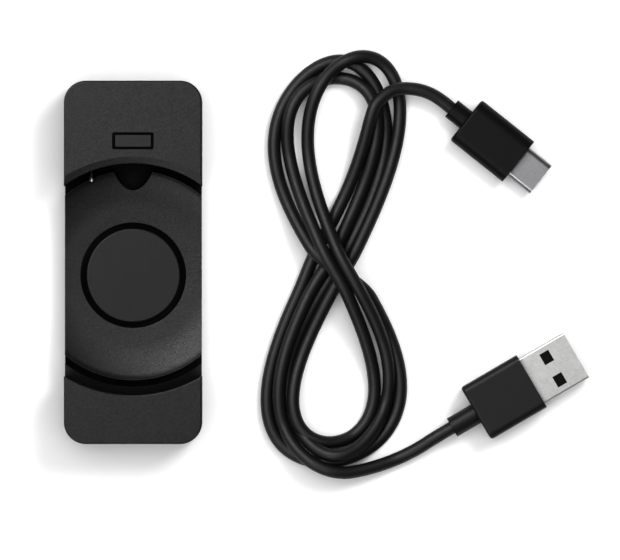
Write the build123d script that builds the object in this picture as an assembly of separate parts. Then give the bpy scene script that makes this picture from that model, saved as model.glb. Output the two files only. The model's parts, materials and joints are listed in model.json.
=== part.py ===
from build123d import *

import math
import os

# Charging cradle for a round-cased watch tracker, with its detachable USB-C to USB-A cable.
# Millimetres, +Z up. The origin is the middle of the cradle's underside, on the surface that
# it stands on. +Y points at the end with the socket, the light and the sprung contacts.

# ---- cradle: outside ----
WIDTH = 32.1
LENGTH = 84.4
HEIGHT = 12.8
CORNER_R = 5.1
TOP_EDGE_R = 0.4
WALL = 1.6
FEET_PROUD = 0.5

# ---- cradle: recess ----
BOWL_Y = -3.0                # centre of the dished floor, its ring groove and its disc
BOWL_R = 24.4
FLOOR_Z = 4.9
BOWL_ARCS = [(16.0, 300.0), (23.2, 30.0), (BOWL_R, 3.75)]  # outer radius and arc of each ring
LIP_OUTER = (30.2, -5.7)     # radius and centre y of the arc where the lip's chamfer starts
LIP_INNER = (27.3, -4.3)     # radius and centre y of the lip's edge
LIP_EDGE_Z = 12.45
LIP_UNDER_Z = 10.5
SLOT_FLOOR_Z = 2.9
UNDERCUT = 0.6
LAND_EDGE = (30.6, -0.15)    # radius and centre y of the edge at the plain end
LEDGE_Z = 5.6                # step at the foot of the plain end's wall
LEDGE_GROOVE = 1.5           # width of the deep groove between the bowl's rim and that step
LEDGE_GROOVE_Z = 3.0
LAND_FILLET = 0.35
SIDE_STEP = 0.15             # how far the sides step in between the lands
SIDE_STEP_Y = (-26.5, 17.7)
UPPER_PART_Y = 8.0           # the slot and the lip lie above this y
LOWER_PART_Y = 2.0           # the step of the plain end lies below this y
UNDER_BOWL = (34.0, 1.4, -4.0)     # length, height and middle y of the hollow under the floor

# ---- crown notch ----
NOTCH_SIDE = [(4.45, 21.2), (3.4, 18.9), (1.9, 17.25)]    # one side of its outline, right half
NOTCH_TIP_Y = 16.6
NOTCH_BACK_Y = 23.0
NOTCH_FLOOR_Z = 2.9
NOTCH_DRAFT = 6.0

# ---- ring groove and disc ----
GROOVE_D = 24.5
DISC_D = 21.9
POCKET_DEPTH = 2.1
DISC_STEM_D = 6.0
DISC_EDGE_R = 0.35

# ---- light guide in the top land ----
WINDOW_Y = 28.2
WINDOW_SIZE = (8.3, 2.75)
WINDOW_GROOVE = (9.6, 3.9)
WINDOW_GROOVE_DEPTH = 0.8
WINDOW_CORNERS = (0.5, 0.3, 0.25)  # of the groove, of the seat and of the plate
WINDOW_THICK = 1.2
GUIDE_STEM = (3.0, 1.6)
GUIDE_STEM_GAP = 0.1

# ---- hollows under the top ----
BAY_GAP = 0.9                # from the board's inner edge to the bay's front wall
BAY_MARGIN = 0.5             # extra wall at each side of the bays
UNDER_BOWL_MARGIN = 1.0
PLAIN_BAY_LENGTH = 8.0
ROOT = 0.2                   # how far a boss runs into the top

# ---- cover, feet, screws ----
COVER_THICK = 1.5
COVER_GAP = 0.1
COVER_CORNER_R = 3.4
FOOT_SIZE = (16.0, 4.0)
FOOT_THICK = 1.0
FOOT_Y = 33.0
SCREW_X = 11.4
SCREW_Y = 37.4
SCREW_D = 1.8
SCREW_HEAD_D = 3.2
SCREW_HEAD_H = 0.8
SCREW_LENGTH = 5.5
SCREW_DRIVE_D = 1.6
SCREW_HEAD_ROUND = 0.2
DRIVE_DEPTH = 0.6            # share of the head's height
HOLE_CLEAR = 0.3             # how much wider than the screw its hole in the cover is
SEAT_DEEPER = 0.1
FOOT_CORNER_R = 1.5
BOSS_D = 4.4

# ---- circuit board ----
BOARD_SIZE = (17.6, 14.4, 1.0)
BOARD_Y = 33.3
BOARD_Z = 3.2
BOARD_SCREW = (6.9, 38.0)
BOARD_SCREW_D = 1.4
BOARD_SCREW_HEAD = (2.6, 0.7)
BOARD_SCREW_LENGTH = 4.0
BOARD_SCREW_DRIVE_D = 1.3
BOARD_BOSS_D = 3.0
BOARD_CORNER = 1.0
LAMP_SIZE = (1.6, 0.8, 0.7)
LAMP_TO_GUIDE = 0.3
CHIP_SIZE = (3.0, 3.0, 0.85)
CHIP_AT = (4.6, 32.6)
CHIP_EDGE = 0.15
SMALL_CAPACITOR = (1.0, 0.5, 0.5)
SMALL_CAPACITORS_AT = [(-3.2, 30.4), (-1.6, 30.4), (0.0, 30.4), (1.6, 30.4)]
LARGE_CAPACITOR = (1.6, 0.8, 0.8)
LARGE_CAPACITORS_AT = [(-5.6, 31.4), (-5.6, 32.9)]
RESISTOR = (1.0, 0.5, 0.35)
RESISTORS_AT = [(-3.0, 31.8), (-1.2, 31.8), (0.6, 31.8)]

# ---- USB-C socket ----
SOCKET_LENGTH = 7.3
SOCKET_OUT = (8.94, 3.16)
SOCKET_SHELL = 0.3
SOCKET_FRONT = 0.6           # how far the socket's mouth sits behind the end face
TONGUE = (6.69, 4.45, 0.7)
SOCKET_BLOCK = 1.8           # depth of the moulding behind the tongue
TONGUE_CORNER = 0.2
PORT_RELIEF = 0.15
PORT_DEPTH = 3.0
CONTACTS_PER_SIDE = 12
CONTACT_PITCH = 0.5
CONTACT_W = 0.25
STRIP = (3.0, 0.05)          # length and thickness of the socket's contact strips
STRIP_FROM_MOUTH = 1.4

# ---- sprung contacts ----
PIN_X = -9.6
PIN_LOW_Z = 7.85
PIN_PITCH = 1.7
PIN_TIP_Y = (18.6, 19.4)     # lower and upper plunger tips at rest
PIN_D = 1.05
PIN_COLLAR_D = 1.22
BARREL_D = 1.6
BARREL_BORE = 1.32
BARREL_MOUTH = 1.15
BARREL_Y = (22.2, 28.6)
MOUTH_LENGTH = 0.5
BARREL_END = 0.4             # thickness of the barrel's closed end
BORE_FORWARD = 3.0           # how far the bores run forward of the barrels
COLLAR_Y = 23.9              # front of the plunger's collar, held by the crimped mouth
COLLAR_LENGTH = 0.8
SPRING_D = 0.9
SPRING_WIRE = 0.14
SPRING_TURNS = 7
TIP_FLAT = 0.08              # radius of the small flat on the tip
CARRIER = (4.2, 3.0)
CARRIER_SHIFT = 0.4
CARRIER_MARGIN = 1.3
LEAD_D = 0.5
LEAD_STAGGER = (0.5, 0.9)    # first lead's distance behind the barrels, and the step to the next
LEAD_INBOARD = 1.4

# ---- cable and plugs ----
CORD_D = 3.0
COLLAR_D = 4.9
C_AXIS = (0.782, -0.623)     # direction from the USB-C plug's tail to its tip
C_REAR = (77.4, 33.15)       # middle of the overmould's rear face
C_BODY = (15.6, 11.9, 6.5)
C_COLLAR_L = 4.3
C_SHELL = (6.65, 8.25, 2.4)
C_SHELL_WALL = 0.25
A_AXIS = (0.863, 0.504)      # direction from the USB-A plug's tail to its tip
A_REAR = (79.7, -35.2)
A_BODY = (15.0, 14.0, 8.0)
A_COLLAR_L = 6.4
A_SHELL = (12.0, 12.0, 4.5)
A_SHELL_WALL = 0.3
A_WINDOW = (2.4, 2.8)        # the square latch holes, along and across
A_WINDOW_FROM_TIP = 6.2
A_WINDOW_PITCH = 6.0
SHELL_INSIDE = 5.0           # how far each shell reaches back into its overmould
COLLAR_HOLD = 0.5            # share of a collar's length that the cord runs into
ROUND_END = 0.01             # keeps a fully rounded section just short of a half circle
C_BODY_FLAT = 0.4
C_REAR_ROUND = 0.6
C_BOARD = (6.6, 0.8, 3.9)
C_BOARD_SEAT = (7.0, 2.0, 4.0)
C_MOUTH = (6.8, 1.2, 0.3)
C_MOUTH_BACK = 4.2
C_LINING_BACK = 0.4          # the lining stops this far behind the shell's tip
C_BLADE = (5.0, 0.1)         # length and thickness of the sprung contacts
C_BLADE_START = 4.5
C_BLADE_Z = 0.55
A_BODY_CORNER = 1.6
A_REAR_ROUND = 0.7
A_SHELL_CORNERS = (0.4, 0.2)       # outside and inside
A_LINING_CORNER = 0.3
A_TONGUE_THICK = 1.8
A_TONGUE_SIDE = 0.3
A_TONGUE_BACK = 0.8
A_BLADE = (9.0, 1.0, 0.2)
A_BLADE_START = 0.5
A_BLADES_ACROSS = [-3.5, -1.0, 1.0, 3.5]

SLIM = 0.02                  # running gap between pieces that only touch
OVER = 1.0                   # how far a cutter reaches past the surface that it cuts

os.makedirs("parts", exist_ok=True)


def save(node, shape):
    """Write one node to its STEP file."""
    export_step(shape, f"parts/{node}.step")


def block(size, low_z, x=0.0, y=0.0):
    """A plain block that stands on low_z, centred on x, y."""
    return Pos(x, y, low_z) * Box(*size, align=(Align.CENTER, Align.CENTER, Align.MIN))


def rod(diameter, length, low_z, x=0.0, y=0.0):
    """An upright cylinder that stands on low_z."""
    upright = Cylinder(diameter / 2, length, align=(Align.CENTER, Align.CENTER, Align.MIN))
    return Pos(x, y, low_z) * upright


def rod_y(diameter, start_y, end_y, x, z):
    """A cylinder along Y between two y values."""
    lying = Cylinder(diameter / 2, end_y - start_y, align=(Align.CENTER, Align.CENTER, Align.MIN))
    return Pos(x, start_y, z) * Rot(-90, 0, 0) * lying


def plate(width, length, corner, low_z, thick):
    """A plate with rounded corners in plan."""
    return Pos(0, 0, low_z) * extrude(RectangleRounded(width, length, corner), thick)


# ---------------------------------------------------------------- upper housing
def bowl_height(radius):
    """Height of the dished floor at a radius from the bowl's middle."""
    height = FLOOR_Z
    inner = 0.0
    sine = 0.0
    for outer, arc in BOWL_ARCS:
        if radius > inner:
            end = sine + (min(radius, outer) - inner) / arc
            height += arc * (math.sqrt(1 - sine**2) - math.sqrt(1 - end**2))
            inner, sine = outer, end
    return height


def bowl_cutter():
    """The space above the dished floor, inside its rim."""
    over = HEIGHT + OVER
    outline = Polyline((BOWL_R, bowl_height(BOWL_R)), (BOWL_R, over), (0, over), (0, FLOOR_Z))
    inner = 0.0
    for outer, _ in BOWL_ARCS:
        places = [(radius, bowl_height(radius)) for radius in (inner, (inner + outer) / 2, outer)]
        outline += ThreePointArc(*places)
        inner = outer
    face = Plane.XZ * make_face(outline)
    return Pos(0, BOWL_Y, 0) * revolve(face, Axis.Z)


def recess_cutter():
    """The through recess: bowl, slot under the lip, the lip, and the step at the plain end."""
    over = HEIGHT + OVER
    space = bowl_cutter()
    bowl_core = rod(2 * BOWL_R, over, 0, y=BOWL_Y)
    upper = block((WIDTH + OVER, LENGTH, over), 0, y=UPPER_PART_Y + LENGTH / 2)
    lower = block((WIDTH + OVER, LENGTH, over), 0, y=LOWER_PART_Y - LENGTH / 2)
    # slot between the bowl's rim and the wall under the lip
    slot = rod(2 * (LIP_INNER[0] + UNDERCUT), LIP_UNDER_Z - SLOT_FLOOR_Z, SLOT_FLOOR_Z, y=LIP_INNER[1])
    space += (slot & upper) - bowl_core
    # open space above the slot, out to the lip's edge, then the lip's sloping face
    space += rod(2 * LIP_INNER[0], over - LIP_UNDER_Z, LIP_UNDER_Z, y=LIP_INNER[1]) & upper
    low_ring = Pos(0, LIP_INNER[1], LIP_EDGE_Z) * Circle(LIP_INNER[0])
    high_ring = Pos(0, LIP_OUTER[1], HEIGHT) * Circle(LIP_OUTER[0])
    space += loft([low_ring.face(), high_ring.face()]) & upper
    # step and its deep groove at the plain end
    ledge = rod(2 * LAND_EDGE[0], over - LEDGE_Z, LEDGE_Z, y=LAND_EDGE[1])
    groove = rod(2 * (BOWL_R + LEDGE_GROOVE), over, LEDGE_GROOVE_Z, y=BOWL_Y)
    space += ((ledge + groove) & lower) - bowl_core
    return space


def notch_cutter():
    """The crown notch: a V with a rounded tip, narrower towards its floor."""
    mouth, middle, foot = NOTCH_SIDE
    right = ThreePointArc(mouth, middle, foot)
    left = mirror(right, about=Plane.YZ)
    tip = ThreePointArc(foot, (0, NOTCH_TIP_Y), (-foot[0], foot[1]))
    back = Polyline(
        (-mouth[0], mouth[1]), (-mouth[0], NOTCH_BACK_Y), (mouth[0], NOTCH_BACK_Y), (mouth[0], mouth[1])
    )
    rim = bowl_height(BOWL_R)
    face = Pos(0, 0, rim) * make_face(right + tip + left + back)
    return extrude(face, NOTCH_FLOOR_Z - rim, taper=NOTCH_DRAFT) + extrude(face, LIP_UNDER_Z - rim)


def port_outline(grow):
    """The USB-C mouth in plan of the end face, grown all round."""
    width, height = SOCKET_OUT
    return RectangleRounded(width + 2 * grow, height + 2 * grow, height / 2 + grow - ROUND_END)


def port_plane(y):
    """A plane across Y, centred on the socket, with its normal along +Y."""
    centre_z = BOARD_Z + BOARD_SIZE[2] + SOCKET_OUT[1] / 2
    return Plane(origin=(0, y, centre_z), x_dir=(-1, 0, 0), z_dir=(0, 1, 0))


def cover_screw_places():
    return [(x, y) for x in (-SCREW_X, SCREW_X) for y in (-SCREW_Y, SCREW_Y)]


def board_screw_places():
    x, y = BOARD_SCREW
    return [(-x, y), (x, y)]


def side_steps():
    """What is cut off the two sides between the lands."""
    start, end = SIDE_STEP_Y
    right = block((2 * SIDE_STEP, end - start, HEIGHT + OVER), 0, WIDTH / 2, (start + end) / 2)
    return right + mirror(right, about=Plane.YZ)


def hollows(cover_top, bay_top):
    """The socket bay, the room under the bowl and the hollow of the plain end."""
    inner_w = WIDTH - 2 * WALL
    bay_w = inner_w - 2 * BAY_MARGIN
    bay_front = BOARD_Y - BOARD_SIZE[1] / 2 - BAY_GAP
    bay_back = LENGTH / 2 - WALL
    bay_size = (bay_w, bay_back - bay_front, bay_top - cover_top)
    space = block(bay_size, cover_top, y=(bay_front + bay_back) / 2)
    length, height, middle = UNDER_BOWL
    under_bowl = block((inner_w - 2 * UNDER_BOWL_MARGIN, length, height), cover_top, y=middle)
    space += under_bowl - rod(GROOVE_D + 2 * height, HEIGHT, 0, y=BOWL_Y)
    plain_size = (bay_w, PLAIN_BAY_LENGTH, bay_top - cover_top)
    return space + block(plain_size, cover_top, y=(PLAIN_BAY_LENGTH - LENGTH) / 2 + WALL)


def upper_housing():
    base_z = FEET_PROUD
    cover_top = base_z + COVER_THICK
    bay_top = HEIGHT - WALL
    body = plate(WIDTH, LENGTH, CORNER_R, base_z, HEIGHT - base_z)
    body = fillet(body.faces().sort_by(Axis.Z)[-1].edges(), TOP_EDGE_R)
    body -= recess_cutter()
    body -= notch_cutter()
    # rounded edge of the plain end's land
    arc_edges = [
        edge for edge in body.edges().filter_by(GeomType.CIRCLE)
        if abs(edge.radius - LAND_EDGE[0]) < SLIM and edge.center().Z > HEIGHT - SLIM
    ]
    body = fillet(arc_edges, LAND_FILLET)
    body -= side_steps()
    # seat for the cover, and the hollows above it
    body -= plate(WIDTH - 2 * WALL, LENGTH - 2 * WALL, COVER_CORNER_R, 0, cover_top)
    body -= hollows(cover_top, bay_top)
    # screw bosses
    for x, y in cover_screw_places():
        body += rod(BOSS_D, bay_top - cover_top + ROOT, cover_top, x, y)
        body -= rod(SCREW_D, SCREW_LENGTH - SCREW_HEAD_H, base_z + OVER, x, y)
    board_top = BOARD_Z + BOARD_SIZE[2]
    for x, y in board_screw_places():
        body += rod(BOARD_BOSS_D, bay_top - board_top + ROOT, board_top, x, y)
        body -= rod(BOARD_SCREW_D, BOARD_SCREW_LENGTH - BOARD_SIZE[2], board_top, x, y)
    # pocket for the disc, with the ring groove round it, and the hole for the disc's stem
    body -= rod(GROOVE_D, POCKET_DEPTH + OVER, FLOOR_Z - POCKET_DEPTH, y=BOWL_Y)
    body -= rod(DISC_STEM_D + 2 * SLIM, FLOOR_Z, cover_top, y=BOWL_Y)
    # window seat with its groove, and the hole for the light guide's stem
    groove_corner, seat_corner, _ = WINDOW_CORNERS
    groove = RectangleRounded(*WINDOW_GROOVE, groove_corner) - RectangleRounded(*WINDOW_SIZE, seat_corner)
    body -= Pos(0, WINDOW_Y, HEIGHT - WINDOW_GROOVE_DEPTH) * extrude(groove, OVER)
    body -= block((*WINDOW_SIZE, WINDOW_THICK + OVER), HEIGHT - WINDOW_THICK, y=WINDOW_Y)
    stem_w, stem_l = [side + 2 * GUIDE_STEM_GAP for side in GUIDE_STEM]
    body -= block((stem_w, stem_l, WALL + OVER), bay_top - ROOT, y=WINDOW_Y)
    # mouth for the USB-C socket
    body -= extrude(port_plane(LENGTH / 2 - PORT_DEPTH) * port_outline(PORT_RELIEF), PORT_DEPTH + OVER)
    # bores for the contact barrels
    for z in (PIN_LOW_Z, PIN_LOW_Z + PIN_PITCH):
        body -= rod_y(BARREL_D, BARREL_Y[0] - BORE_FORWARD, BARREL_Y[1], PIN_X, z)
    return body


# ---------------------------------------------------------------- cradle: other pieces
def base_cover():
    inset = 2 * (WALL + COVER_GAP)
    corner = COVER_CORNER_R - COVER_GAP
    cover = plate(WIDTH - inset, LENGTH - inset, corner, FEET_PROUD, COVER_THICK - SLIM)
    for x, y in cover_screw_places():
        cover -= rod(SCREW_D + HOLE_CLEAR, HEIGHT, 0, x, y)
        cover -= rod(SCREW_HEAD_D + HOLE_CLEAR, SCREW_HEAD_H + SEAT_DEEPER, FEET_PROUD, x, y)
    width, length = [side + 2 * SLIM for side in FOOT_SIZE]
    seat = extrude(RectangleRounded(width, length, FOOT_CORNER_R), FOOT_THICK - FEET_PROUD)
    for y in (-FOOT_Y, FOOT_Y):
        cover -= Pos(0, y, FEET_PROUD) * seat
    return cover


def feet():
    pad = extrude(RectangleRounded(*FOOT_SIZE, FOOT_CORNER_R), FOOT_THICK)
    return Compound(children=[Pos(0, y, 0) * pad for y in (-FOOT_Y, FOOT_Y)])


def screw(diameter, length, head_d, head_h, drive_d):
    """A pan-head screw standing on its head, with a hexagonal drive in the head."""
    shank = rod(diameter, length - head_h, head_h)
    head = fillet(rod(head_d, head_h, 0).edges().group_by(Axis.Z)[0], SCREW_HEAD_ROUND)
    drive = extrude(RegularPolygon(drive_d / 2, 6), head_h * DRIVE_DEPTH)
    return head + shank - drive


def cover_screws():
    one = screw(SCREW_D - 2 * SLIM, SCREW_LENGTH, SCREW_HEAD_D, SCREW_HEAD_H, SCREW_DRIVE_D)
    low = FEET_PROUD + SEAT_DEEPER
    return Compound(children=[Pos(x, y, low) * one for x, y in cover_screw_places()])


def board_screws():
    head_d, head_h = BOARD_SCREW_HEAD
    one = screw(BOARD_SCREW_D - 2 * SLIM, BOARD_SCREW_LENGTH, head_d, head_h, BOARD_SCREW_DRIVE_D)
    low = BOARD_Z - head_h
    return Compound(children=[Pos(x, y, low) * one for x, y in board_screw_places()])


def centre_disc():
    """The round disc in the ring groove, with the stem that holds it in the floor."""
    low = FLOOR_Z - POCKET_DEPTH
    top = fillet(rod(DISC_D, POCKET_DEPTH, low, y=BOWL_Y).edges().group_by(Axis.Z)[-1], DISC_EDGE_R)
    stem_low = FEET_PROUD + COVER_THICK + SEAT_DEEPER
    return top + rod(DISC_STEM_D, low - stem_low, stem_low, y=BOWL_Y)


def indicator_window():
    """The flush light guide: a rectangular plate with a stem down towards the lamp."""
    width, length = [side - 2 * SLIM for side in WINDOW_SIZE]
    under = HEIGHT - WINDOW_THICK
    top = block((width, length, WINDOW_THICK - SLIM), under, y=WINDOW_Y)
    top = fillet(top.edges().filter_by(Axis.Z), WINDOW_CORNERS[2])
    stem_low = BOARD_Z + BOARD_SIZE[2] + LAMP_SIZE[2] + LAMP_TO_GUIDE
    return top + block((*GUIDE_STEM, under - stem_low), stem_low, y=WINDOW_Y)


def circuit_board():
    board = block(BOARD_SIZE, BOARD_Z, y=BOARD_Y)
    board = chamfer(board.edges().filter_by(Axis.Z), BOARD_CORNER)
    for x, y in board_screw_places():
        board -= rod(BOARD_SCREW_D + HOLE_CLEAR, HEIGHT, 0, x, y)
    return board


def on_board(size, x, y):
    """A block that sits on the board's top face."""
    return block(size, BOARD_Z + BOARD_SIZE[2], x, y)


def indicator_led():
    return on_board(LAMP_SIZE, 0, WINDOW_Y)


def charge_controller():
    return chamfer(on_board(CHIP_SIZE, *CHIP_AT).edges().group_by(Axis.Z)[-1], CHIP_EDGE)


def board_components():
    """Capacitors and resistors beside the chip and the lamp."""
    pieces = [on_board(SMALL_CAPACITOR, x, y) for x, y in SMALL_CAPACITORS_AT]
    pieces += [on_board(LARGE_CAPACITOR, x, y) for x, y in LARGE_CAPACITORS_AT]
    pieces += [on_board(RESISTOR, x, y) for x, y in RESISTORS_AT]
    return Compound(children=pieces)


def usb_socket_shell():
    back_y = LENGTH / 2 - SOCKET_FRONT - SOCKET_LENGTH
    outside = extrude(port_plane(back_y) * port_outline(0), SOCKET_LENGTH)
    inside = extrude(port_plane(back_y + SOCKET_SHELL) * port_outline(-SOCKET_SHELL), SOCKET_LENGTH)
    return outside - inside


def usb_socket_tongue():
    width, length, thick = TONGUE
    back_y = LENGTH / 2 - SOCKET_FRONT - SOCKET_LENGTH + SOCKET_SHELL
    moulding = extrude(port_plane(back_y) * port_outline(-SOCKET_SHELL - SLIM), SOCKET_BLOCK)
    blade = RectangleRounded(width, thick, TONGUE_CORNER)
    return moulding + extrude(port_plane(back_y) * blade, SOCKET_BLOCK + length)


def contact_offsets():
    """Places of one row of USB-C contacts, from the row's middle."""
    middle = (CONTACTS_PER_SIDE - 1) / 2
    return [(index - middle) * CONTACT_PITCH for index in range(CONTACTS_PER_SIDE)]


def usb_socket_contacts():
    """Contact strips on both faces of the tongue."""
    length, thick = STRIP
    front = LENGTH / 2 - SOCKET_FRONT - STRIP_FROM_MOUTH
    centre_z = BOARD_Z + BOARD_SIZE[2] + SOCKET_OUT[1] / 2
    apart = (TONGUE[2] + thick) / 2
    strips = []
    for x in contact_offsets():
        for z in (centre_z - apart, centre_z + apart):
            strips.append(Pos(x, front - length / 2, z) * Box(CONTACT_W, length, thick))
    return Compound(children=strips)


# ---------------------------------------------------------------- sprung contacts
def pin_places():
    """Name, height and tip of each sprung contact."""
    return [
        ("lower", PIN_LOW_Z, PIN_TIP_Y[0]),
        ("upper", PIN_LOW_Z + PIN_PITCH, PIN_TIP_Y[1]),
    ]


def contact_barrels():
    barrels = []
    start, end = BARREL_Y
    for _, z, _ in pin_places():
        barrel = rod_y(BARREL_D - 2 * SLIM, start, end, PIN_X, z)
        barrel -= rod_y(BARREL_MOUTH, start - OVER, start + MOUTH_LENGTH, PIN_X, z)
        barrel -= rod_y(BARREL_BORE, start + MOUTH_LENGTH, end - BARREL_END, PIN_X, z)
        barrels.append(barrel)
    return Compound(children=barrels)


def contact_pin(z, tip_y):
    """A plunger: domed tip, shaft, and the collar that the barrel's mouth holds back."""
    shaft = rod_y(PIN_D, tip_y, COLLAR_Y + COLLAR_LENGTH, PIN_X, z)
    shaft = fillet(shaft.edges().filter_by(GeomType.CIRCLE).sort_by(Axis.Y)[0], PIN_D / 2 - TIP_FLAT)
    return shaft + rod_y(PIN_COLLAR_D, COLLAR_Y, COLLAR_Y + COLLAR_LENGTH, PIN_X, z)


def contact_spring(z):
    """A coil spring between the plunger's collar and the end of its barrel."""
    start = COLLAR_Y + COLLAR_LENGTH + SPRING_WIRE
    length = BARREL_Y[1] - BARREL_END - SPRING_WIRE - start
    turns = Helix(pitch=length / SPRING_TURNS, height=length, radius=SPRING_D / 2)
    section = Plane(origin=turns @ 0, z_dir=turns % 0) * Circle(SPRING_WIRE / 2)
    wire = sweep(section, path=turns)
    return Pos(PIN_X, start, z) * Rot(-90, 0, 0) * wire


def pin_carrier():
    """The block behind the bay's front wall that holds both barrels."""
    bay_front = BOARD_Y - BOARD_SIZE[1] / 2 - BAY_GAP
    width, depth = CARRIER
    size = (width, depth, PIN_PITCH + 2 * CARRIER_MARGIN)
    carrier = block(size, PIN_LOW_Z - CARRIER_MARGIN, PIN_X + CARRIER_SHIFT, bay_front + depth / 2)
    for _, z, _ in pin_places():
        carrier -= rod_y(BARREL_D, bay_front - OVER, bay_front + depth + OVER, PIN_X, z)
    return carrier


def pin_leads():
    """A lead from the end of each barrel down to the board."""
    leads = []
    board_top = BOARD_Z + BOARD_SIZE[2]
    behind, step = LEAD_STAGGER
    radius = LEAD_D / 2
    for index, (_, z, _) in enumerate(pin_places()):
        back = BARREL_Y[1] + behind + step * index
        along = rod_y(LEAD_D, BARREL_Y[1], back + radius, PIN_X, z)
        inboard = Cylinder(radius, LEAD_INBOARD, align=(Align.CENTER, Align.CENTER, Align.MIN))
        down = rod(LEAD_D, z - board_top + radius, board_top, PIN_X + LEAD_INBOARD, back)
        leads.append(along + Pos(PIN_X, back, z) * Rot(0, 90, 0) * inboard + down)
    return Compound(children=leads)


# ---------------------------------------------------------------- plugs
def plug_frame(rear, axis, axis_z):
    """A plug's own frame: x towards the tip, y across, z up, from the overmould's rear face."""
    return Plane(origin=(rear[0], rear[1], axis_z), x_dir=(axis[0], axis[1], 0), z_dir=(0, 0, 1))


C_FRAME = plug_frame(C_REAR, C_AXIS, C_BODY[2] / 2)
A_FRAME = plug_frame(A_REAR, A_AXIS, A_BODY[2] / 2)


def along_plug(frame, section, start, length):
    """Extrude a section, drawn across the plug, from start towards the tip."""
    across = Plane(origin=(start, 0, 0), x_dir=(0, 1, 0), z_dir=(1, 0, 0))
    return frame * extrude(across * section, length)


def tail_faces(body, axis):
    """The face at a plug's tail."""
    return body.faces().sort_by(Axis((0, 0, 0), (axis[0], axis[1], 0)))[0]


def collar(frame, length):
    """The round strain relief behind an overmould, with the bore that holds the cord."""
    sleeve = along_plug(frame, Circle(COLLAR_D / 2), -length, length)
    return sleeve - along_plug(frame, Circle(CORD_D / 2), -length - OVER, length * COLLAR_HOLD + OVER)


def usb_c_overmould():
    length, width, thick = C_BODY
    body = along_plug(C_FRAME, RectangleRounded(width, thick, thick / 2 - C_BODY_FLAT), 0, length)
    body = fillet(tail_faces(body, C_AXIS).edges(), C_REAR_ROUND)
    _, shell_w, shell_t = C_SHELL
    pocket = RectangleRounded(shell_w, shell_t, shell_t / 2 - ROUND_END)
    body -= along_plug(C_FRAME, pocket, length - SHELL_INSIDE, SHELL_INSIDE + OVER)
    seat_w, seat_t, seat_l = C_BOARD_SEAT
    return body - along_plug(C_FRAME, Rectangle(seat_w, seat_t), length - SHELL_INSIDE - seat_l, seat_l)


def c_section(wall):
    """The shell's fully rounded outline, set in by a wall."""
    _, width, thick = C_SHELL
    return RectangleRounded(width - 2 * wall, thick - 2 * wall, thick / 2 - wall - ROUND_END)


def usb_c_shell():
    total = C_SHELL[0] + SHELL_INSIDE
    start = C_BODY[0] - SHELL_INSIDE
    outside = along_plug(C_FRAME, c_section(0), start, total)
    return outside - along_plug(C_FRAME, c_section(C_SHELL_WALL), start - OVER, total + 2 * OVER)


def usb_c_insulator():
    """The plastic lining of the shell, open at the tip for the socket's tongue."""
    start = C_BODY[0] - SHELL_INSIDE
    total = C_SHELL[0] + SHELL_INSIDE
    body = along_plug(C_FRAME, c_section(C_SHELL_WALL + SLIM), start, total - C_LINING_BACK)
    return body - along_plug(C_FRAME, RectangleRounded(*C_MOUTH), start + C_MOUTH_BACK, total)


def usb_c_contacts():
    """Spring contacts on both long walls of the mouth."""
    length, thick = C_BLADE
    start = C_BODY[0] - SHELL_INSIDE + C_BLADE_START
    blades = []
    for across in contact_offsets():
        for z in (-C_BLADE_Z, C_BLADE_Z):
            section = Pos(across, z) * Rectangle(CONTACT_W, thick)
            blades.append(along_plug(C_FRAME, section, start, length))
    return Compound(children=blades)


def usb_c_board():
    """The small board behind the insulator that the wires and the pull-up resistor sit on."""
    width, thick, length = C_BOARD
    return along_plug(C_FRAME, Rectangle(width, thick), C_BODY[0] - SHELL_INSIDE - length, length - SLIM)


def usb_a_overmould():
    length, width, thick = A_BODY
    body = along_plug(A_FRAME, RectangleRounded(width, thick, A_BODY_CORNER), 0, length)
    body = fillet(tail_faces(body, A_AXIS).edges(), A_REAR_ROUND)
    pocket = RectangleRounded(A_SHELL[1], A_SHELL[2], A_SHELL_CORNERS[0])
    return body - along_plug(A_FRAME, pocket, length - SHELL_INSIDE, SHELL_INSIDE + OVER)


def usb_a_shell():
    length, width, thick = A_SHELL
    total = length + SHELL_INSIDE
    start = A_BODY[0] - SHELL_INSIDE
    wall = A_SHELL_WALL
    outer_corner, inner_corner = A_SHELL_CORNERS
    shell = along_plug(A_FRAME, RectangleRounded(width, thick, outer_corner), start, total)
    hollow = RectangleRounded(width - 2 * wall, thick - 2 * wall, inner_corner)
    shell -= along_plug(A_FRAME, hollow, start - OVER, total + 2 * OVER)
    hole_x = A_BODY[0] + length - A_WINDOW_FROM_TIP
    for side in (-1, 1):
        shell -= A_FRAME * Pos(hole_x, side * A_WINDOW_PITCH / 2, 0) * Box(*A_WINDOW, 2 * thick)
    return shell


def usb_a_insulator():
    """The tongue in the upper half of the shell, and the block behind it."""
    length, width, thick = A_SHELL
    wall = A_SHELL_WALL + SLIM
    start = A_BODY[0] - SHELL_INSIDE
    inner_w = width - 2 * wall
    inner_t = thick - 2 * wall
    rear = along_plug(A_FRAME, RectangleRounded(inner_w, inner_t, A_LINING_CORNER), start, SHELL_INSIDE)
    tongue = Rectangle(inner_w - 2 * A_TONGUE_SIDE, A_TONGUE_THICK)
    upper = Pos(0, (inner_t - A_TONGUE_THICK) / 2) * tongue
    return rear + along_plug(A_FRAME, upper, start, SHELL_INSIDE + length - A_TONGUE_BACK)


def usb_a_contacts():
    """Four flat contacts on the underside of the tongue."""
    length, width, thick = A_BLADE
    under = A_SHELL[2] / 2 - A_SHELL_WALL - SLIM - A_TONGUE_THICK
    blades = []
    for across in A_BLADES_ACROSS:
        section = Pos(across, under - thick / 2) * Rectangle(width, thick)
        blades.append(along_plug(A_FRAME, section, A_BODY[0] + A_BLADE_START, length))
    return Compound(children=blades)


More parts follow.
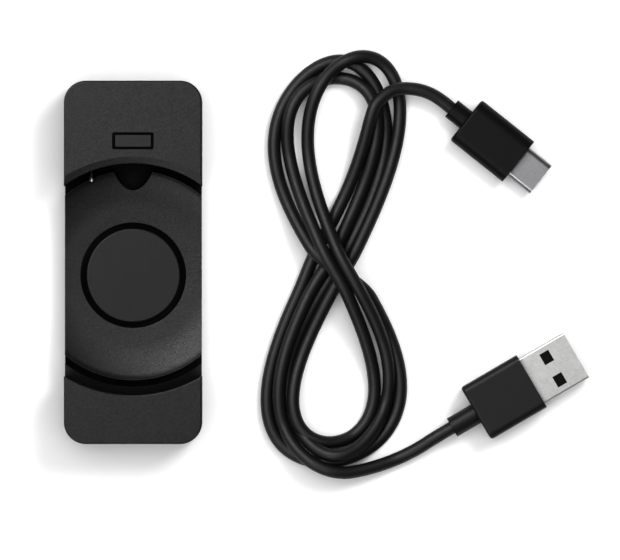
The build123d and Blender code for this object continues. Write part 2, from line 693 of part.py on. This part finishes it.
# ---------------------------------------------------------------- cord
# Outline of the loose figure-eight as it lies, and the holes of its two loops.
EIGHT_OUTLINE = [
    (41.4, 1.2), (36.0, 9.8), (33.0, 17.5), (31.5, 26.0), (32.2, 34.5), (36.6, 42.0),
    (44.2, 48.0), (52.8, 49.8), (58.6, 47.6), (62.4, 41.6), (63.4, 33.5), (61.6, 22.0),
    (57.0, 10.4), (52.0, 0.5), (53.6, -5.2), (59.8, -13.6), (63.4, -22.8), (63.8, -31.2),
    (60.6, -39.5), (57.4, -44.8), (54.6, -49.2), (50.4, -50.3), (44.6, -49.0), (38.4, -45.2),
    (33.0, -41.0), (30.0, -34.8), (31.0, -24.5), (35.2, -11.2),
]
UPPER_HOLE = [
    (45.8, 11.4), (42.9, 20.5), (42.2, 29.0), (43.6, 38.2), (47.6, 41.8), (52.4, 39.4),
    (54.0, 34.0), (51.8, 23.5),
]
LOWER_HOLE = [
    (47.5, -6.8), (51.6, -17.0), (54.2, -28.0), (52.6, -36.6), (47.4, -40.6), (41.6, -38.2),
    (38.8, -31.0), (41.4, -18.8),
]
EIGHT_HEIGHT = 2 * CORD_D
CROSSING = (46.6, -1.0)
CROSSING_D = 17.0
CROSSING_HEIGHT = 3.8 * CORD_D

# Routes of the two tails, from the plug's collar to the figure-eight.
C_TAIL = [(74.04, 35.83), (71.0, 38.4), (67.2, 40.1), (63.0, 40.6), (59.9, 40.0)]
C_TAIL_Z = [3.25, 3.5, 4.1, 4.6, 4.6]
A_TAIL = [(74.18, -38.43), (70.4, -40.6), (66.2, -43.4), (61.4, -45.8), (56.3, -47.6)]
A_TAIL_Z = [4.0, 3.6, 2.4, 1.6, 1.55]
BEND_SHARE = 0.45            # share of a straight run that the arc at its end may take up


def cable_coil():
    """The outer shape of the figure-eight, thicker where its strands pass over each other."""
    outline = make_face(Spline(*EIGHT_OUTLINE, periodic=True))
    for hole in (UPPER_HOLE, LOWER_HOLE):
        outline -= make_face(Spline(*hole, periodic=True))
    flat = extrude(outline, EIGHT_HEIGHT)
    waist = extrude(outline & Pos(*CROSSING) * Circle(CROSSING_D / 2), CROSSING_HEIGHT)
    return flat + waist


def tail_route(plan, heights):
    return [Vector(x, y, z) for (x, y), z in zip(plan, heights)]


def bend_radii(route):
    """The arc at each corner: as large as its two runs allow."""
    radii = []
    for before, corner, after in zip(route, route[1:], route[2:]):
        turn = (corner - before).get_angle(after - corner)
        shorter = min((corner - before).length, (after - corner).length)
        radii.append(BEND_SHARE * shorter / math.tan(math.radians(turn / 2)))
    return radii


def cord_tube(name, route):
    """A tube of straight runs and tangent arcs, whose volume is compared with its length."""
    radii = bend_radii(route)
    path = FilletPolyline(*route, radius=radii)
    section = Plane(origin=path @ 0, z_dir=path % 0) * Circle(CORD_D / 2)
    tube = sweep(section, path=path)
    expected = math.pi * CORD_D**2 / 4 * path.length
    print(f"{name}: length {path.length:.1f}, radii {[round(radius, 1) for radius in radii]},"
          f" volume {tube.volume:.1f} of {expected:.1f}")
    return tube


# ---------------------------------------------------------------- write every node
save("upper_housing", upper_housing())
save("base_cover", base_cover())
save("centre_disc", centre_disc())
save("indicator_window", indicator_window())
save("anti_slip_feet", feet())
save("cover_screws", cover_screws())
save("board_screws", board_screws())
save("circuit_board", circuit_board())
save("indicator_led", indicator_led())
save("charge_controller", charge_controller())
save("board_components", board_components())
save("usb_socket_shell", usb_socket_shell())
save("usb_socket_tongue", usb_socket_tongue())
save("usb_socket_contacts", usb_socket_contacts())
save("pin_carrier", pin_carrier())
save("contact_barrels", contact_barrels())
save("pin_leads", pin_leads())
for pin_name, pin_z, pin_tip in pin_places():
    save(f"contact_pin_{pin_name}", contact_pin(pin_z, pin_tip))
    save(f"contact_spring_{pin_name}", contact_spring(pin_z))

save("cable_coil", cable_coil())
save("cable_tail_c", cord_tube("cable_tail_c", tail_route(C_TAIL, C_TAIL_Z)))
save("cable_tail_a", cord_tube("cable_tail_a", tail_route(A_TAIL, A_TAIL_Z)))
save("usb_c_collar", collar(C_FRAME, C_COLLAR_L))
save("usb_c_overmould", usb_c_overmould())
save("usb_c_shell", usb_c_shell())
save("usb_c_insulator", usb_c_insulator())
save("usb_c_contacts", usb_c_contacts())
save("usb_c_board", usb_c_board())
save("usb_a_collar", collar(A_FRAME, A_COLLAR_L))
save("usb_a_overmould", usb_a_overmould())
save("usb_a_shell", usb_a_shell())
save("usb_a_insulator", usb_a_insulator())
save("usb_a_contacts", usb_a_contacts())
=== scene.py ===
import json
import math

import bpy
import numpy as np
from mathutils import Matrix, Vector


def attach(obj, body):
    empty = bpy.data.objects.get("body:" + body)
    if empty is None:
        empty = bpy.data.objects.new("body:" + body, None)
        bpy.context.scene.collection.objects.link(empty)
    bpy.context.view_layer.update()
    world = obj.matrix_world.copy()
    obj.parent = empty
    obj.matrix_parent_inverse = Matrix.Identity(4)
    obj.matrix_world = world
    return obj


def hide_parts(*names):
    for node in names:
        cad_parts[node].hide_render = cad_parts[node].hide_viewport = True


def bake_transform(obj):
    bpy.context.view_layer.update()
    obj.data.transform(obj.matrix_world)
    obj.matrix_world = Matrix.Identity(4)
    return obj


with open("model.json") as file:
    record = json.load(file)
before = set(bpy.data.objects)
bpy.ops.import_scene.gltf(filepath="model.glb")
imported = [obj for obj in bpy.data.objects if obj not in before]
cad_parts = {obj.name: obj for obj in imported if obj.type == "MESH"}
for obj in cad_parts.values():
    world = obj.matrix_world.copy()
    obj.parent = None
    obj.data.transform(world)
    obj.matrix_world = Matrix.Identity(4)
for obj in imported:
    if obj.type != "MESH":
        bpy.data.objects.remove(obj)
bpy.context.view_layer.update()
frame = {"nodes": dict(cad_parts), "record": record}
NODES = frame["nodes"]

MM = 0.001

# ---------------------------------------------------------------- camera
VIEW_CENTRE = Vector((0.0411, -0.0041, 0.006))
VIEW_WIDTH = 0.1442
LENS = 900.0                 # so long that the view is nearly parallel
SENSOR = 36.0
FAR_CLIP = 10.0


def make_camera():
    """Straight down from far off, with +Y up in the picture."""
    data = bpy.data.cameras.new("camera")
    data.lens = LENS
    data.sensor_width = SENSOR
    data.sensor_fit = "HORIZONTAL"
    data.clip_end = FAR_CLIP
    camera = bpy.data.objects.new("camera", data)
    camera.location = VIEW_CENTRE + Vector((0, 0, VIEW_WIDTH * LENS / SENSOR))
    bpy.context.scene.collection.objects.link(camera)
    bpy.context.scene.camera = camera


make_camera()

# ---------------------------------------------------------------- cord
CORD_D = 3.0 * MM
CROSS_Y = -2.3               # y of the figure-eight's waist, in mm
CROSS_GAP = 3.4              # how close to the waist each half turn's points start, in mm
HALF_POINTS = 28
FIRST_UP_START = 0.60        # where in its half turn the first strand joins the figure-eight
LAST_DOWN_END = 0.532        # where in its half turn the last strand leaves it
TAIL_LAYERS = (9, 7)         # where the two tails lie in the stack of strands

# Each half turn goes up or down from the waist, out on the left and back on the right. A negative
# half width swaps the two. A row holds its waist point x and y, how far it reaches, how it leans, its
# half width, how that tapers, and how its far end is bent sideways, with lengths in mm. Then come the
# layers of its first and last stretch in the stack of strands, and where they change over.
UP, DOWN = 1, -1
HALF_TURNS = [
    (UP, 40.5, -1.0, 40.0, 0.84, -5.5, 0.0, -0.37, (9, 1), 0.72),
    (DOWN, 45.5, 7.0, 53.5, 0.08, 16.0, 0.05, -0.10, (1, 4), 0.5),
    (UP, 46.0, -4.0, 51.0, -0.04, 15.5, 0.35, 0.08, (4, 0), 0.5),
    (DOWN, 48.5, 0.5, 45.5, -0.03, 14.5, 0.40, 0.0, (0, 6), 0.5),
    (UP, 49.5, -2.0, 50.0, 0.03, 11.5, 0.15, 0.05, (6, 2), 0.5),
    (DOWN, 48.0, -3.5, 38.5, -0.04, 9.5, 0.0, -0.02, (2, 5), 0.5),
    (UP, 45.5, -0.5, 43.5, 0.01, 10.0, -0.10, 0.03, (5, 3), 0.5),
    (DOWN, 43.5, -2.0, 47.0, 0.06, 13.0, 0.10, 0.06, (3, 7), 0.32),
]

# The two free tails in mm, from each plug's collar, as in the CAD route.
C_TAIL = [
    (74.04, 35.83, 3.25), (71.0, 38.4, 3.5), (67.2, 40.1, 4.1), (63.0, 40.6, 4.6), (59.9, 40.0, 4.6),
]
A_TAIL = [
    (74.18, -38.43, 4.0), (70.4, -40.6, 3.6), (66.2, -43.4, 2.4), (61.4, -45.8, 1.6), (56.3, -47.6, 1.55),
]


def half_turn(half, first, last):
    """Plan points and layers of one half turn, between two shares of its sweep."""
    way, x0, y0, reach, lean, width, taper, bend, layers, change = half
    start_sine = (way * CROSS_Y + CROSS_GAP - way * y0) / reach
    edge = math.asin(max(start_sine, 0.0))
    sweep = math.pi - 2 * edge
    count = max(2, round(HALF_POINTS * (last - first)))
    points = []
    for index in range(count):
        share = first + (last - first) * index / (count - 1)
        angle = edge + sweep * share
        sine = math.sin(angle)
        side = width * math.sin(2 * angle) * (1 - taper * sine**2)
        x = x0 + reach * (lean * sine + bend * sine**3) - side
        y = y0 + way * reach * sine
        points.append((x * MM, y * MM, layers[0] if share < change else layers[1]))
    return points


def eight_points():
    """Plan points and layers of the whole figure-eight."""
    points = []
    for index, half in enumerate(HALF_TURNS):
        first = FIRST_UP_START if index == 0 else 0.0
        last = LAST_DOWN_END if index == len(HALF_TURNS) - 1 else 1.0
        points += half_turn(half, first, last)
    return points


SAMPLES_PER_SPAN = 6
SLOPE = 0.28                 # steepest climb of the cord over another strand
TOUCH = 0.86                 # strands closer than this many diameters lie over each other
NESTLE = 0.84                # share of a diameter that one strand is lifted over another
SAME_STRETCH = 3             # diameters along the cord within which it can't cross itself


def smooth_samples(points):
    """Points of the quadratic B-spline with these control points, SAMPLES_PER_SPAN to a span."""
    control = np.array(points)
    t = (np.arange(SAMPLES_PER_SPAN) + 0.5) / SAMPLES_PER_SPAN
    weights = np.stack([0.5 * (1 - t) ** 2, 0.5 + t - t**2, 0.5 * t**2], axis=1)
    spans = np.stack([control[:-2], control[1:-1], control[2:]], axis=1)
    return np.einsum("kw,swc->skc", weights, spans).reshape(-1, control.shape[1])


def settled_heights(plan_points, layers, lowest):
    """Height of each control point, when each layer rests on the floor or on the layers below it."""
    samples = smooth_samples(np.column_stack([plan_points, lowest]))
    plan = samples[:, :2]
    height = samples[:, 2].copy()
    layer = np.repeat(np.array(layers[1:-1]), SAMPLES_PER_SPAN)
    along = np.concatenate([[0], np.cumsum(np.linalg.norm(np.diff(plan, axis=0), axis=1))])
    for level in sorted(set(layers)):
        mine = np.flatnonzero(layer == level)
        below = np.flatnonzero(layer < level)
        if len(below) == 0 or len(mine) == 0:
            continue
        apart = np.linalg.norm(plan[mine][:, None] - plan[below][None], axis=2)
        far_along = np.abs(along[mine][:, None] - along[below][None]) > SAME_STRETCH * CORD_D
        over = (apart < TOUCH * CORD_D) & far_along
        lift = NESTLE * np.sqrt(np.maximum(CORD_D**2 - apart**2, 0))
        resting = np.where(over, height[below][None] + lift, 0).max(axis=1)
        pushed = np.maximum(height[mine], resting)
        run = np.abs(along[mine][:, None] - along[mine][None])
        height[mine] = np.maximum(pushed, (pushed[None] - SLOPE * run).max(axis=1))
    run = np.abs(along[:, None] - along[None])
    height = (height[None] - SLOPE * run).max(axis=1)
    controls = np.array(lowest, float)
    for index in range(1, len(plan_points) - 1):
        span = (index - 1) * SAMPLES_PER_SPAN
        controls[index] = height[span:span + SAMPLES_PER_SPAN].max()
    return controls


def cord_route():
    """Control points of the whole cord, from the USB-C collar to the USB-A collar."""
    lead_in = [(x * MM, y * MM, z * MM) for x, y, z in C_TAIL]
    lead_out = [(x * MM, y * MM, z * MM) for x, y, z in reversed(A_TAIL)]
    eight = eight_points()
    plan = [p[:2] for p in lead_in] + [p[:2] for p in eight] + [p[:2] for p in lead_out]
    layers = [TAIL_LAYERS[0]] * len(lead_in) + [p[2] for p in eight] + [TAIL_LAYERS[1]] * len(lead_out)
    lowest = [p[2] for p in lead_in] + [CORD_D / 2] * len(eight) + [p[2] for p in lead_out]
    heights = settled_heights(plan, layers, lowest)
    return [Vector((x, y, z)) for (x, y), z in zip(plan, heights)]


def nurbs_tube(name, points, diameter):
    """A round tube on one open NURBS spline."""
    data = bpy.data.curves.new(name, "CURVE")
    data.dimensions = "3D"
    data.bevel_depth = 1.0       # each point's radius then is the tube's own
    data.bevel_resolution = 8
    data.resolution_u = 8
    data.use_fill_caps = True
    spline = data.splines.new("NURBS")
    spline.points.add(len(points) - 1)
    for target, point in zip(spline.points, points):
        target.co = (*point, 1)
        target.radius = diameter / 2
    spline.order_u = 3
    spline.use_endpoint_u = True
    tube = bpy.data.objects.new(name, data)
    bpy.context.scene.collection.objects.link(tube)
    return tube


cord = nurbs_tube("cord", cord_route(), CORD_D)
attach(cord, "cable")
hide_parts("cable_coil", "cable_tail_c", "cable_tail_a")


# ---------------------------------------------------------------- contact springs
SPRING_X = -9.6 * MM
SPRING_Z = {"lower": 7.85 * MM, "upper": 9.55 * MM}
SPRING_Y = (24.84 * MM, 28.06 * MM)
SPRING_R = 0.45 * MM
SPRING_TURNS = 7
SPRING_STEPS = 24 * SPRING_TURNS
WIRE_R = 0.07 * MM
WIRE_SIDES = 8


def coil_spring(name, z):
    """A coil along +Y, made of rings of wire round a helix."""
    start, end = SPRING_Y
    forward = Vector((0, 1, 0))
    vertices = []
    for step in range(SPRING_STEPS + 1):
        share = step / SPRING_STEPS
        turn = math.tau * SPRING_TURNS * share
        out = Vector((math.cos(turn), 0, math.sin(turn)))
        centre = Vector((SPRING_X, start + (end - start) * share, z)) + SPRING_R * out
        for side in range(WIRE_SIDES):
            angle = math.tau * side / WIRE_SIDES
            vertices.append(centre + WIRE_R * (math.cos(angle) * out + math.sin(angle) * forward))
    last = SPRING_STEPS * WIRE_SIDES
    faces = [tuple(range(WIRE_SIDES)), tuple(range(last + WIRE_SIDES - 1, last - 1, -1))]
    for first in range(0, last, WIRE_SIDES):
        for side in range(WIRE_SIDES):
            a = first + side
            b = first + (side + 1) % WIRE_SIDES
            faces.append((b, a, a + WIRE_SIDES, b + WIRE_SIDES))
    mesh = bpy.data.meshes.new(name)
    mesh.from_pydata(vertices, [], faces)
    mesh.shade_smooth()
    spring = bpy.data.objects.new(name, mesh)
    bpy.context.scene.collection.objects.link(spring)
    return spring


springs = []
for place, z in SPRING_Z.items():
    spring = coil_spring(f"spring_{place}", z)
    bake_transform(spring)
    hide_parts(f"contact_spring_{place}")
    springs.append(spring)


# ---------------------------------------------------------------- materials
NOISE_RANGE = (0.3, 0.7)     # where nearly all of a noise texture's values lie


def new_material(name, color, roughness, metallic=0.0, specular=0.5):
    material = bpy.data.materials.new(name)
    material.use_nodes = True
    shader = material.node_tree.nodes["Principled BSDF"]
    shader.inputs["Base Color"].default_value = (*color, 1)
    shader.inputs["Roughness"].default_value = roughness
    shader.inputs["Metallic"].default_value = metallic
    shader.inputs["Specular IOR Level"].default_value = specular
    return material


def add_noise(material, size, detail=4.0):
    """A noise texture whose features are about size metres across."""
    tree = material.node_tree
    place = tree.nodes.new("ShaderNodeTexCoord")
    noise = tree.nodes.new("ShaderNodeTexNoise")
    noise.inputs["Scale"].default_value = 1 / size
    noise.inputs["Detail"].default_value = detail
    tree.links.new(place.outputs["Object"], noise.inputs["Vector"])
    return noise


def feed(material, source, target):
    """Link a node's output to one of the shader's inputs."""
    material.node_tree.links.new(source, material.node_tree.nodes["Principled BSDF"].inputs[target])


def colour_ramp(tree, value, stops):
    """Colour that turns from the first stop's to the second's as value goes from one place to the other."""
    ramp = tree.nodes.new("ShaderNodeValToRGB")
    for element, (position, colour) in zip(ramp.color_ramp.elements, stops):
        element.position = position
        element.color = (*colour, 1)
    tree.links.new(value, ramp.inputs["Fac"])
    return ramp.outputs["Color"]


def remap(tree, value, start, end, low=0.0, high=1.0):
    """A node that turns value's run from start to end into one from low to high."""
    spread = tree.nodes.new("ShaderNodeMapRange")
    spread.inputs["From Min"].default_value = start
    spread.inputs["From Max"].default_value = end
    spread.inputs["To Min"].default_value = low
    spread.inputs["To Max"].default_value = high
    tree.links.new(value, spread.inputs["Value"])
    return spread


def vary_colour(material, size, low, high):
    """Base colour that drifts between two colours."""
    noise = add_noise(material, size).outputs["Fac"]
    stops = list(zip(NOISE_RANGE, (low, high)))
    feed(material, colour_ramp(material.node_tree, noise, stops), "Base Color")


def drift(material, size, low, high):
    """A value that drifts between low and high, over patches about size metres across."""
    noise = add_noise(material, size).outputs["Fac"]
    return remap(material.node_tree, noise, *NOISE_RANGE, low, high).outputs["Result"]


GRAIN_DETAIL = 2.0
EDGE_SAMPLES = 6


def grain(material, size, strength, depth, edge):
    """Fine bump of a moulded or blasted surface, over edges that are rounded by edge metres."""
    tree = material.node_tree
    bump = tree.nodes.new("ShaderNodeBump")
    bump.inputs["Strength"].default_value = strength
    bump.inputs["Distance"].default_value = depth
    tree.links.new(add_noise(material, size, GRAIN_DETAIL).outputs["Fac"], bump.inputs["Height"])
    if edge > 0:
        rounded = tree.nodes.new("ShaderNodeBevel")
        rounded.samples = EDGE_SAMPLES
        rounded.inputs["Radius"].default_value = edge
        tree.links.new(rounded.outputs["Normal"], bump.inputs["Normal"])
    feed(material, bump.outputs["Normal"], "Normal")


OPENNESS = (0.62, 0.97)      # how open a surface is where its shine starts and where it is full
OPENNESS_SAMPLES = 8
MOTTLE = 0.45 * MM


def mottled_shine_and_painted_crevice_shade(material, reach, low, high):
    """Mottled shine, and painted shade: less shine where the surface is hemmed in, within reach metres."""
    tree = material.node_tree
    hemmed = tree.nodes.new("ShaderNodeAmbientOcclusion")
    hemmed.samples = OPENNESS_SAMPLES
    hemmed.inputs["Distance"].default_value = reach
    spread = remap(tree, hemmed.outputs["AO"], *OPENNESS)
    tree.links.new(drift(material, MOTTLE, low, high), spread.inputs["To Max"])
    feed(material, spread.outputs["Result"], "Specular IOR Level")


PLASTIC_SPECKLE = 0.35 * MM
PLASTIC_SHADES = (0.8, 1.2)  # darkest and lightest speckle, as shares of the colour
PLASTIC_GLOSS_PATCH = 0.5 * MM
PLASTIC_GLOSS_DRIFT = 0.06
PLASTIC_GRAIN_DEPTH = 0.05 * MM


def plastic(name, shade, roughness, grain_size, grain_strength, specular=0.5, edge=0.0):
    """Moulded plastic: speckled colour, drifting gloss, and a spark-eroded grain."""
    material = new_material(name, shade, roughness, specular=specular)
    low, high = [[c * share for c in shade] for share in PLASTIC_SHADES]
    vary_colour(material, PLASTIC_SPECKLE, low, high)
    span = (roughness - PLASTIC_GLOSS_DRIFT, roughness + PLASTIC_GLOSS_DRIFT)
    feed(material, drift(material, PLASTIC_GLOSS_PATCH, *span), "Roughness")
    grain(material, grain_size, grain_strength, PLASTIC_GRAIN_DEPTH, edge)
    return material


def painted_tip_highlight_and_shaft_shade(material, start, end, shaft_shade, bright):
    """Painted light: base colour that turns from a painted highlight on the tip to painted shade on the
    shaft between two y values.
    """
    tree = material.node_tree
    place = tree.nodes.new("ShaderNodeTexCoord")
    split = tree.nodes.new("ShaderNodeSeparateXYZ")
    tree.links.new(place.outputs["Object"], split.inputs["Vector"])
    along = remap(tree, split.outputs["Y"], start, end).outputs["Result"]
    feed(material, colour_ramp(tree, along, [(0.0, bright), (1.0, shaft_shade)]), "Base Color")


METAL_SPECKLE = 0.5 * MM
METAL_SHADES = (0.9, 1.06)   # darkest and lightest speckle, as shares of the colour
METAL_GLOSS_PATCH = 0.6 * MM
METAL_GLOSS_DRIFT = (-0.05, 0.06)
METAL_GRAIN_DEPTH = 0.02 * MM


def metal(name, shade, roughness, grain_size, grain_strength):
    """Plated sheet metal with a fine mottled surface."""
    material = new_material(name, shade, roughness, metallic=1.0)
    low, high = [[c * share for c in shade] for share in METAL_SHADES]
    vary_colour(material, METAL_SPECKLE, low, high)
    span = [roughness + change for change in METAL_GLOSS_DRIFT]
    feed(material, drift(material, METAL_GLOSS_PATCH, *span), "Roughness")
    grain(material, grain_size, grain_strength, METAL_GRAIN_DEPTH, 0.0)
    return material


BLACK = (0.0046, 0.0046, 0.0048)
PLUG_BLACK = (0.005, 0.005, 0.0052)
# Painted shade for the USB-C plug's overmould and collar.
SHADED_PLUG_BLACK = (0.003, 0.003, 0.0031)
MATERIALS = {
    "housing_plastic": plastic("housing_plastic", BLACK, 0.36, 0.3 * MM, 1.0, 0.2, 0.25 * MM),
    "cover_plastic": plastic("cover_plastic", BLACK, 0.5, 0.25 * MM, 0.4, 0.25, 0.1 * MM),
    "disc_plastic": plastic("disc_plastic", BLACK, 0.38, 0.3 * MM, 0.5, 0.19, 0.15 * MM),
    "window_plastic": plastic("window_plastic", BLACK, 0.36, 0.2 * MM, 0.15, 0.2, 0.1 * MM),
    "foot_rubber": plastic("foot_rubber", (0.012, 0.012, 0.012), 0.75, 0.3 * MM, 0.5),
    "board_laminate": plastic("board_laminate", (0.02, 0.09, 0.04), 0.35, 0.5 * MM, 0.2),
    "lamp_body": plastic("lamp_body", (0.8, 0.76, 0.6), 0.2, 0.5 * MM, 0.05),
    "chip_resin": plastic("chip_resin", (0.02, 0.02, 0.02), 0.55, 0.08 * MM, 0.4),
    "ceramic": plastic("ceramic", (0.33, 0.24, 0.14), 0.5, 0.1 * MM, 0.2),
    "connector_plastic": plastic("connector_plastic", (0.003, 0.003, 0.003), 0.6, 0.2 * MM, 0.15, 0.05),
    "cord_sheath": plastic("cord_sheath", (0.0016, 0.0016, 0.0017), 0.52, 0.4 * MM, 0.1, 0.36),
    "overmould_plastic": plastic("overmould_plastic", PLUG_BLACK, 0.44, 0.16 * MM, 0.25, 0.2, 0.12 * MM),
    # painted shade: a darker, less shiny copy of overmould_plastic
    "shaded_overmould": plastic("shaded_overmould", SHADED_PLUG_BLACK, 0.44, 0.16 * MM, 0.25, 0.09, 0.12 * MM),
    "screw_steel": metal("screw_steel", (0.45, 0.45, 0.46), 0.35, 0.2 * MM, 0.2),
    "plug_steel": metal("plug_steel", (0.225, 0.225, 0.23), 0.34, 0.12 * MM, 0.05),
    "usb_a_steel": metal("usb_a_steel", (0.50, 0.50, 0.495), 0.34, 0.12 * MM, 0.12),
    "gold_contact": metal("gold_contact", (0.62, 0.46, 0.24), 0.25, 0.1 * MM, 0.1),
    "plunger_nickel": metal("plunger_nickel", (0.30, 0.30, 0.29), 0.3, 0.1 * MM, 0.1),
    "spring_steel": metal("spring_steel", (0.55, 0.55, 0.56), 0.25, 0.1 * MM, 0.1),
}

CREVICE_REACH = 6 * MM
HOUSING_SHINE = (0.17, 0.26)
PAINTED_TIP_LIGHT_Y = (19.0 * MM, 19.7 * MM)
# Painted shade: the housing's shine fades where it is hemmed in, so its grooves, slot and notch look
# darker.
mottled_shine_and_painted_crevice_shade(MATERIALS["housing_plastic"], CREVICE_REACH, *HOUSING_SHINE)
# Painted light on the contact plungers: a lit tip and a shaded shaft, painted into the base colour.
painted_tip_highlight_and_shaft_shade(MATERIALS["plunger_nickel"], *PAINTED_TIP_LIGHT_Y, (0.01, 0.01, 0.01), (0.42, 0.42, 0.41))

# Painted shade: these pieces get a darker, less shiny copy of their material slot, as if they lay in dimmer
# light.
SHADED_COPIES = {"usb_c_overmould": "shaded_overmould", "usb_c_collar": "shaded_overmould"}
for sub in frame["record"]["subparts"]:
    node = NODES[sub["node"]]
    node.data.materials.clear()
    node.data.materials.append(MATERIALS[SHADED_COPIES.get(sub["node"], sub["material_slot"])])
cord.data.materials.append(MATERIALS["cord_sheath"])
for spring in springs:
    spring.data.materials.append(MATERIALS["spring_steel"])


# ---------------------------------------------------------------- stage and light
DISPLAY_GAMMA = 0.9
FLOOR_HALF = 1.5
FLOOR_DROP = 0.02 * MM       # keeps the floor just clear of what stands on it


def make_floor():
    half = FLOOR_HALF
    corners = [(-half, -half, 0), (half, -half, 0), (half, half, 0), (-half, half, 0)]
    mesh = bpy.data.meshes.new("floor")
    mesh.from_pydata(corners, [], [(0, 1, 2, 3)])
    floor = bpy.data.objects.new("floor", mesh)
    floor.location.z = -FLOOR_DROP
    bpy.context.scene.collection.objects.link(floor)
    material = new_material("paper", (0.93, 0.93, 0.93), 0.9, specular=0.1)
    floor.data.materials.append(material)


def area_light(name, place, size, energy, diffuse=True, glossy=True):
    """A rectangular light aimed at the object, which may be kept out of shading or out of reflections."""
    data = bpy.data.lights.new(name, "AREA")
    data.shape = "RECTANGLE"
    data.size, data.size_y = size
    data.energy = energy
    light = bpy.data.objects.new(name, data)
    light.location = place
    aim = VIEW_CENTRE - Vector(place)
    light.rotation_euler = aim.to_track_quat("-Z", "Y").to_euler()
    light.visible_diffuse = diffuse
    light.visible_glossy = glossy
    bpy.context.scene.collection.objects.link(light)


SKY_SIDE = (-0.5, 0.2, 0.84)  # towards the bright part of the studio
SKY_STOPS = [(0.15, (0.06, 0.06, 0.06)), (0.9, (0.42, 0.42, 0.42))]


def make_world():
    """A plain studio: bright overhead and to the upper left, dim to the right."""
    world = bpy.data.worlds.new("studio")
    world.use_nodes = True
    tree = world.node_tree
    place = tree.nodes.new("ShaderNodeTexCoord")
    slope = tree.nodes.new("ShaderNodeVectorMath")
    slope.operation = "DOT_PRODUCT"
    slope.inputs[1].default_value = SKY_SIDE
    tree.links.new(place.outputs["Generated"], slope.inputs[0])
    glow = colour_ramp(tree, slope.outputs["Value"], SKY_STOPS)
    tree.links.new(glow, tree.nodes["Background"].inputs["Color"])
    bpy.context.scene.world = world


make_floor()
make_world()
area_light("ceiling", (0.04, 0.0, 0.95), (1.2, 1.2), 9.8, glossy=False)
area_light("key", (0.39, 0.35, 0.60), (0.27, 0.27), 3.1, glossy=False)
area_light("top_box", (-0.07, 0.12, 0.60), (0.30, 0.30), 0.98, diffuse=False)
area_light("softbox", (-0.24, 0.26, 0.56), (0.36, 0.36), 4.2, diffuse=False)
area_light("side_box", (-0.30, -0.50, 0.75), (0.40, 0.40), 3.5, diffuse=False)
bpy.context.scene.view_settings.view_transform = "Standard"
bpy.context.scene.view_settings.gamma = DISPLAY_GAMMA

# ---------------------------------------------------------------- finish
bpy.context.view_layer.update()
